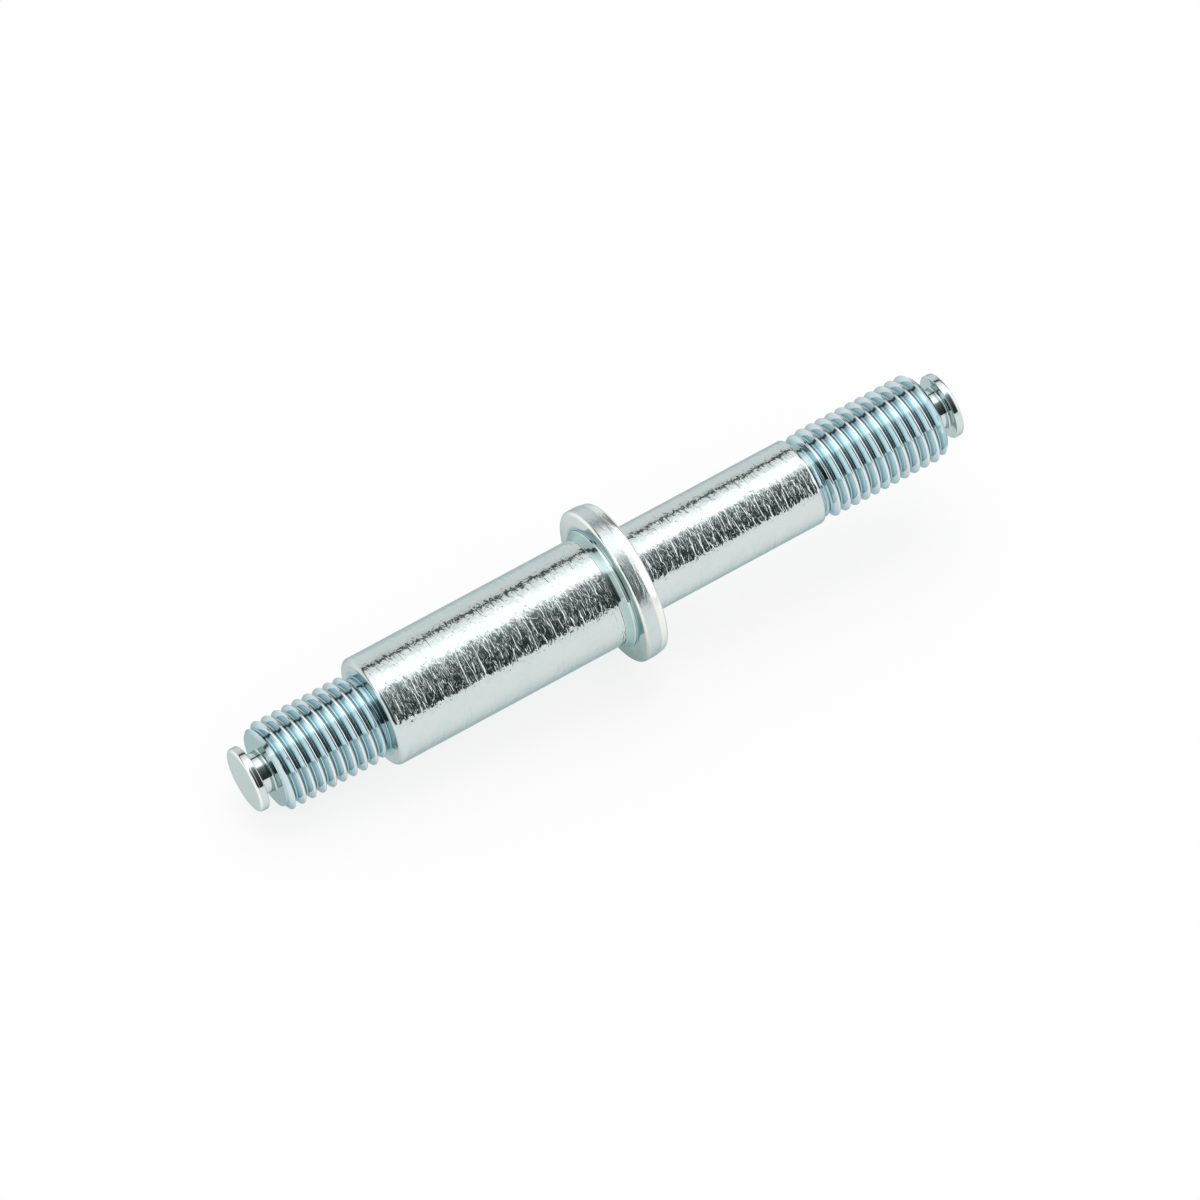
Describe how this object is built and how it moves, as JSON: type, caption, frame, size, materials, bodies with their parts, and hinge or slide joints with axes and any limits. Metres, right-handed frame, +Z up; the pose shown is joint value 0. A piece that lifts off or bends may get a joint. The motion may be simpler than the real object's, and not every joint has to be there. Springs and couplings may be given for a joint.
{
  "type": "pedal bolt",
  "caption": "Turned steel pivot bolt with a collar, a thick journal for a pedal, a thinner plain shank, a thread at each end and a clip neck with a button beyond each thread.",
  "frame": {"origin": "under the middle of the bolt's box, on the surface that it lies on", "axes": "+X along the bolt towards its bracket end, +Z up; the bolt lies on its collar's rim and its journal's shoulder, so its axis rises 5.36 degrees towards +X"},
  "size_m": [0.14, 0.0286, 0.0288],
  "materials": {
    "zinc_plated_steel": "bright zinc plating with a faint blue-green passivation tint"
  },
  "bodies": {
    "root": {"pedal_bolt": "zinc_plated_steel"}
  },
  "joints": []
}
